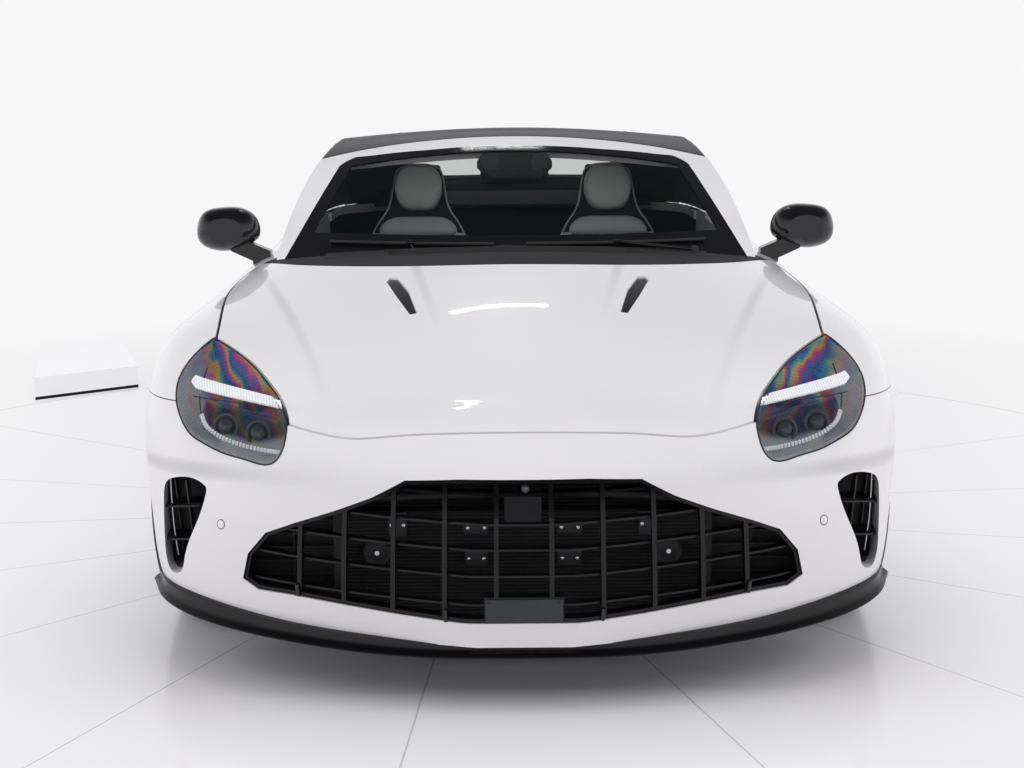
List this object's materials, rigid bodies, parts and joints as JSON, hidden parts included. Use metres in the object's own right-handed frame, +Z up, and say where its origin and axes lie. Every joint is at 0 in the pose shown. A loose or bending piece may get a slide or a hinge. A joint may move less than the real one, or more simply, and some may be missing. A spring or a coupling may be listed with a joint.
{
  "type": "roadster_convertible",
  "caption": "White two-seat roadster convertible with black soft top, wide vaned grille, jointed doors, bonnet, boot, steering and wheels",
  "frame": {"origin": "on the floor under the middle of the car", "axes": "+X to the car's left, +Y to its tail, +Z up, nose towards -Y"},
  "size_m": [2.0744, 4.495, 1.2751],
  "materials": {
    "body_paint": "glossy white car paint under clear coat",
    "soft_top_fabric": "matte black woven soft top fabric",
    "clear_glass": "lightly tinted glass",
    "dark_trim": "black grained plastic",
    "gloss_trim": "gloss black plastic",
    "underbody": "dark sealed metal",
    "interior_grey": "light grey leather",
    "interior_dark": "dark grained covering",
    "rim_metal": "machined and painted light alloy",
    "tyre_rubber": "black tyre rubber",
    "steel_parts": "bare cast and forged parts",
    "core_metal": "finned light metal",
    "exhaust_steel": "polished steel",
    "lamp_light": "white light guide",
    "lamp_red": "red lamp cover"
  },
  "bodies": {
    "car": {"front_bumper": "body_paint", "front_fender_left": "body_paint", "front_fender_right": "body_paint", "cowl": "dark_trim", "side_skirts": "body_paint", "quarter_panel_left": "body_paint", "quarter_panel_right": "body_paint", "rear_deck": "body_paint", "rear_bumper": "body_paint", "windscreen_frame": "body_paint", "windscreen_glass": "clear_glass", "soft_top": "soft_top_fabric", "rear_window": "clear_glass", "floor_pan": "underbody", "centre_tunnel": "underbody", "front_frame": "underbody", "rear_frame": "underbody", "front_suspension": "steel_parts", "rear_suspension": "steel_parts", "front_splitter": "gloss_trim", "front_grille": "dark_trim", "radiator_pack": "core_metal", "headlight_housings": "gloss_trim", "headlight_lenses": "clear_glass", "headlight_bars": "lamp_light", "dashboard": "interior_dark", "centre_console": "interior_dark", "seat_left": "interior_grey", "seat_right": "interior_grey", "seat_frames": "dark_trim", "engine_block": "steel_parts", "tail_lights": "lamp_red", "rear_diffuser": "gloss_trim", "exhaust_tips": "exhaust_steel", "wheel_liners": "dark_trim"},
    "door_left": {"door_left": "body_paint", "door_glass_left": "clear_glass", "mirror_left": "gloss_trim"},
    "door_right": {"door_right": "body_paint", "door_glass_right": "clear_glass", "mirror_right": "gloss_trim"},
    "bonnet": {"bonnet": "body_paint", "bonnet_vents": "gloss_trim"},
    "boot_lid": {"boot_lid": "body_paint"},
    "steering_wheel": {"steering_wheel": "interior_dark"},
    "knuckle_left": {"front_knuckle_left": "steel_parts"},
    "knuckle_right": {"front_knuckle_right": "steel_parts"},
    "wheel_front_left": {"front_wheel_left": "rim_metal", "front_tyre_left": "tyre_rubber"},
    "wheel_front_right": {"front_wheel_right": "rim_metal", "front_tyre_right": "tyre_rubber"},
    "wheel_rear_left": {"rear_wheel_left": "rim_metal", "rear_tyre_left": "tyre_rubber"},
    "wheel_rear_right": {"rear_wheel_right": "rim_metal", "rear_tyre_right": "tyre_rubber"}
  },
  "joints": [
    {"name": "steer_left", "type": "hinge", "parent": "car", "child": "knuckle_left", "pos_m": [0.7885, -1.3925, 0.363], "axis": [0, 0, 1], "range_deg": [-32, 32]},
    {"name": "steer_right", "type": "hinge", "parent": "car", "child": "knuckle_right", "pos_m": [-0.7885, -1.3925, 0.363], "axis": [0, 0, 1], "range_deg": [-32, 32]},
    {"name": "steering_wheel_turn", "type": "hinge", "parent": "car", "child": "steering_wheel", "pos_m": [0.37, -0.13, 0.745], "axis": [0, 0.9063, 0.4226], "range_deg": [-420, 420]},
    {"name": "roll_front_left", "type": "hinge", "parent": "knuckle_left", "child": "wheel_front_left", "pos_m": [0.8285, -1.3925, 0.363], "axis": [1, 0, 0], "continuous": true},
    {"name": "roll_front_right", "type": "hinge", "parent": "knuckle_right", "child": "wheel_front_right", "pos_m": [-0.8285, -1.3925, 0.363], "axis": [1, 0, 0], "continuous": true},
    {"name": "roll_rear_left", "type": "hinge", "parent": "car", "child": "wheel_rear_left", "pos_m": [0.8135, 1.3125, 0.363], "axis": [1, 0, 0], "continuous": true},
    {"name": "roll_rear_right", "type": "hinge", "parent": "car", "child": "wheel_rear_right", "pos_m": [-0.8135, 1.3125, 0.363], "axis": [1, 0, 0], "continuous": true},
    {"name": "door_left_hinge", "type": "hinge", "parent": "car", "child": "door_left", "pos_m": [0.921, -0.56, 0], "axis": [0.0698, 0, -0.9976], "range_deg": [0, 65]},
    {"name": "door_right_hinge", "type": "hinge", "parent": "car", "child": "door_right", "pos_m": [-0.921, -0.56, 0], "axis": [0.0698, 0, 0.9976], "range_deg": [0, 65]},
    {"name": "bonnet_hinge", "type": "hinge", "parent": "car", "child": "bonnet", "pos_m": [0, -2.05, 0.634], "axis": [1, 0, 0], "range_deg": [0, 50]},
    {"name": "boot_hinge", "type": "hinge", "parent": "car", "child": "boot_lid", "pos_m": [0, 1.4787, 0.926], "axis": [1, 0, 0], "range_deg": [0, 70]}
  ],
  "couplings": [
    {"joint": "steer_right", "follows": "steer_left", "ratio": 1},
    {"joint": "steering_wheel_turn", "follows": "steer_left", "ratio": 13}
  ]
}
